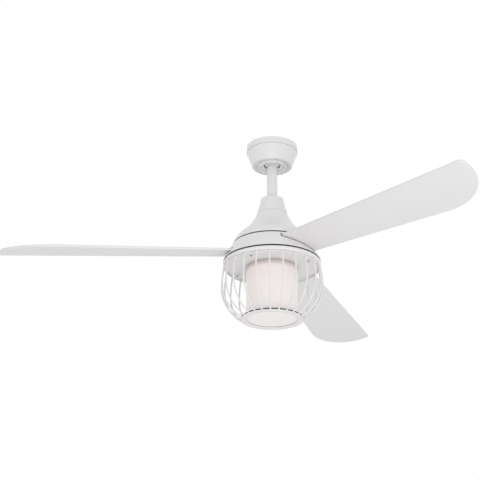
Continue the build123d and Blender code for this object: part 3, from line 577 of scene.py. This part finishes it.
standsFor(makePan(pan), "light_pan")

glass = {"radius": 63.0, "wall": 3.0, "top": -330.5, "foot": -463.0, "topRound": 2.5, "footRound": 3.4,
         "innerRound": 0.5, "hole": 21.0}


def makeGlass(size):
    radius, wall, top, foot = size["radius"], size["wall"], size["top"], size["foot"]
    return turnedPiece("opal_drum", [
        (0, foot, 0), (radius, foot, size["footRound"]), (radius, top, size["topRound"]),
        (size["hole"], top, 0), (size["hole"], top - wall, 0),
        (radius - wall, top - wall, size["innerRound"]),
        (radius - wall, foot + wall, size["footRound"] - wall), (0, foot + wall, 0),
    ], cornerSteps=10, turnSteps=128)


standsFor(makeGlass(glass), "glass_shade")

# Dark washer on the cage's foot ring: its dark finish is painted shadow for the gap between the wires' feet
cushion = {"inner": 63.3, "outer": 74.2, "foot": -463.5, "height": 3.4, "edge": 0.4, "footEdge": 0.2}


def makeShadowWasher(size):
    inner, outer, foot, edge = size["inner"], size["outer"], size["foot"], size["edge"]
    top = foot + size["height"]
    corners = [(inner, foot, size["footEdge"]), (outer, foot, edge), (outer, top, edge), (inner, top, edge)]
    return turnedPiece("washer_painted_shadow", corners, turnSteps=128)


# Painted shadow: the washer's dark finish stands for the shade in the gap above the foot ring
standsFor(makeShadowWasher(cushion), "shade_cushion")

# Wire cage

cage = {"wire": 2.0, "count": 24, "startAngle": 1.5, "topRadius": 118.2, "topLevel": -331.2, "belly": 123.0,
        "bellyLevel": -381.9, "lowerCurve": 92.0, "wireSink": 0.5, "ringInner": 114.5, "ringOuter": 117.6,
        "ringTop": -331.9, "ringHeight": 2.6, "ringRound": 0.7, "tabWidth": 14.0, "tabInner": 93.0,
        "tabOverlap": 1.2, "tabRound": 4.0, "tabSheet": 2.2, "footInner": 60.5, "footOuter": 75.5,
        "footTop": -463.5, "footSheet": 2.5, "footRound": 0.8, "footTopRound": 0.4,
        "upperSteps": 8, "lowerSteps": 24, "wireSteps": 3, "smoothAngle": 50, "ringSteps": 192}


def wireLine(size):
    # Flat upper arc out to the belly, then the tighter lower arc down to the foot ring.
    belly, level, lower = size["belly"], size["bellyLevel"], size["lowerCurve"]
    out, drop = belly - size["topRadius"], size["topLevel"] - level
    upper = (out**2 + drop**2) / (2 * out)
    start = math.asin(drop / upper)
    end = math.asin((level - size["footTop"] + size["wireSink"]) / lower)
    line = []
    for share in shares(size["upperSteps"])[:-1]:
        turn = start * (1 - share)
        line.append((belly - upper * (1 - math.cos(turn)), level + upper * math.sin(turn)))
    for share in shares(size["lowerSteps"]):
        turn = end * share
        line.append((belly - lower + lower * math.cos(turn), level - lower * math.sin(turn)))
    return line


def makeWires(size):
    name = "cage_wire_set"
    curve = bpy.data.curves.new("cage_wire_run", "CURVE")
    curve.dimensions = "3D"
    curve.bevel_depth = size["wire"] * mm
    curve.bevel_resolution = size["wireSteps"]
    curve.use_fill_caps = True
    line = wireLine(size)
    for k in range(size["count"]):
        turn = math.radians(size["startAngle"] + 360 * k / size["count"])
        run = curve.splines.new("POLY")
        run.points.add(len(line) - 1)
        for point, (r, z) in zip(run.points, line):
            point.co = (r * math.cos(turn) * mm, r * math.sin(turn) * mm, z * mm, 1)
        run.use_smooth = True
    drawn = bpy.data.objects.new(name, curve)
    bpy.context.scene.collection.objects.link(drawn)
    mesh = bpy.data.meshes.new_from_object(drawn.evaluated_get(bpy.context.evaluated_depsgraph_get()))
    bpy.data.objects.remove(drawn)
    made = bpy.data.objects.new(name, mesh)
    bpy.context.scene.collection.objects.link(made)
    return markSharp(made, size["smoothAngle"])


def tabOutline(size):
    half, inner, outer = size["tabWidth"] / 2, size["tabInner"], size["ringInner"] + size["tabOverlap"]
    nose = size["tabRound"]
    corners = [(outer, half, 0), (inner, half, nose), (inner, -half, nose), (outer, -half, 0)]
    return [tuple(point) for point in rounded(corners)]


def makeTopRing(size):
    inner, outer, top, edge = size["ringInner"], size["ringOuter"], size["ringTop"], size["ringRound"]
    foot = top - size["ringHeight"]
    corners = [(inner, foot, edge), (outer, foot, edge), (outer, top, edge), (inner, top, edge)]
    build = turnedMesh(rounded(corners, steps=4), size["ringSteps"])
    for angle in pan["screwAngles"]:
        level = pan["footLevel"]
        prism(build, tabOutline(size), level - size["tabSheet"], level, aboutZ(angle))
    return asObject("cage_rim", build)


def makeFootRing(size):
    inner, outer, top = size["footInner"], size["footOuter"], size["footTop"]
    foot = top - size["footSheet"]
    return turnedPiece("cage_foot_ring", [
        (inner, foot, size["footRound"]), (outer, foot, size["footRound"]),
        (outer, top, size["footTopRound"]), (inner, top, size["footTopRound"]),
    ])


standsFor(makeWires(cage), "cage_wires")
standsFor(makeTopRing(cage), "cage_top_ring")
standsFor(makeFootRing(cage), "cage_bottom_ring")

# Pan screws, each with a cross recess

screws = {"head": 4.2, "height": 2.2, "shank": 2.0, "length": 6.5, "turnSteps": 32,
          "dome": [(0.45, 0.93), (0.8, 0.66), (1.0, 0.2), (1.0, 0.0)],
          "crossLong": 3.0, "crossWide": 0.9, "crossDeep": 1.9, "crossAbove": 1.0}


def crossOutline(long, wide):
    corner = [(long, -wide), (long, wide), (wide, wide)]
    turns = [(1, 0), (0, 1), (-1, 0), (0, -1)]
    return [(x * c - y * s, x * s + y * c) for c, s in turns for x, y in corner]


def makePanScrews(size):
    heads, crosses = bmesh.new(), bmesh.new()
    head, height, shank, length = size["head"], size["height"], size["shank"], size["length"]
    profile = [(0, height), *[(head * out, height * up) for out, up in size["dome"]]]
    profile += [(shank, 0), (shank, -length), (0, -length)]
    cross = crossOutline(size["crossLong"], size["crossWide"])
    for angle in pan["screwAngles"]:
        seat = (
            aboutZ(angle)
            @ Matrix.Translation(Vector((pan["screwCircle"], 0, pan["footLevel"] - cage["tabSheet"])) * mm)
            @ Matrix.Rotation(math.pi, 4, "X")
        )
        turnedMesh(profile, size["turnSteps"], heads, seat)
        prism(crosses, cross, height - size["crossDeep"], height + size["crossAbove"], seat)
    return cutBy(asObject("pan_screw_set", heads), asObject("cross_cutter", crosses))


standsFor(makePanScrews(screws), "pan_screws")
print("light made")

for node, item in frame["nodes"].items():
    if node not in replaced:
        for holder in item.material_slots:
            holder.material = finishes[nodeSlot[node]]
print("finishes laid on the packed nodes")


# Studio

studio = {
    "floorLevel": -4.4, "floorSize": 160.0, "floorTone": 0.94, "floorLift": 0.27, "worldLight": 0.81,
    "lamps": {
        "front": {"at": (-0.4, -2.7, -1.4), "size": 2.0, "power": 15.5},
        "under": {"at": (0.7, -1.9, -2.4), "size": 1.2, "power": 12.0},
    },
    "aim": (0, 0, -0.25),
}


def makeFloor(size):
    # Matt floor that looks as white as the sky behind it, and lights the fan from below.
    build = bmesh.new()
    half, tone = size["floorSize"] / 2, size["floorTone"]
    corners = [(half, half), (-half, half), (-half, -half), (half, -half)]
    build.faces.new([build.verts.new((x, y, size["floorLevel"])) for x, y in corners])
    floor = asObject("studio_floor", build)
    paint = Shader(bpy.data.materials.new("floor_white"))
    matt = paint.node("ShaderNodeBsdfDiffuse", None, {"Color": (tone, tone, tone, 1)})
    seen = paint.node("ShaderNodeLightPath", output="Is Camera Ray")
    lift = paint.node("ShaderNodeEmission", None, {"Strength": size["floorLift"] * seen})
    both = paint.node("ShaderNodeAddShader", None, {0: matt, 1: lift})
    paint.node("ShaderNodeOutputMaterial", None, {"Surface": both})
    floor.data.materials.append(paint.owner)


def makeWorld(size):
    # Pure white to the eye and in reflections, a little dimmer as a light.
    sky = Shader(bpy.data.worlds.new("studio"))
    kinds = ("Camera", "Glossy", "Transmission")
    seen, mirrored, passed = [sky.node("ShaderNodeLightPath", output=f"Is {kind} Ray") for kind in kinds]
    bright = seen.orLarger(mirrored).orLarger(passed)
    level = size["worldLight"] + (1 - size["worldLight"]) * bright
    back = sky.node("ShaderNodeBackground", None, {"Color": (1, 1, 1, 1), "Strength": level})
    sky.node("ShaderNodeOutputWorld", None, {"Surface": back})
    bpy.context.scene.world = sky.owner


def makeLamps(size):
    for name, spec in size["lamps"].items():
        lamp = bpy.data.lights.new(name, "AREA")
        lamp.size = spec["size"]
        lamp.energy = spec["power"]
        sight = Vector(size["aim"]) - Vector(spec["at"])
        holder = bpy.data.objects.new(name, lamp)
        holder.location = spec["at"]
        holder.rotation_euler = sight.to_track_quat("-Z", "Y").to_euler()
        holder.visible_camera = False
        bpy.context.scene.collection.objects.link(holder)


view = {"at": (-0.4414, -2.3587, -1.2704), "pitch": 22.894, "turn": -10.6, "sensor": 36.0, "lens": 78.9,
        "shift": -0.0669, "farClip": 60.0}


def makeCamera(size):
    data = bpy.data.cameras.new("photo_view")
    data.sensor_width = size["sensor"]
    data.lens = size["lens"]
    data.shift_x = size["shift"]
    data.clip_end = size["farClip"]
    camera = bpy.data.objects.new("photo_view", data)
    camera.location = size["at"]
    camera.rotation_euler = (math.radians(90 + size["pitch"]), 0, math.radians(size["turn"]))
    bpy.context.scene.collection.objects.link(camera)
    bpy.context.scene.camera = camera


makeFloor(studio)
makeWorld(studio)
makeLamps(studio)
makeCamera(view)
bpy.context.scene.view_settings.view_transform = "Standard"
print("studio ready")
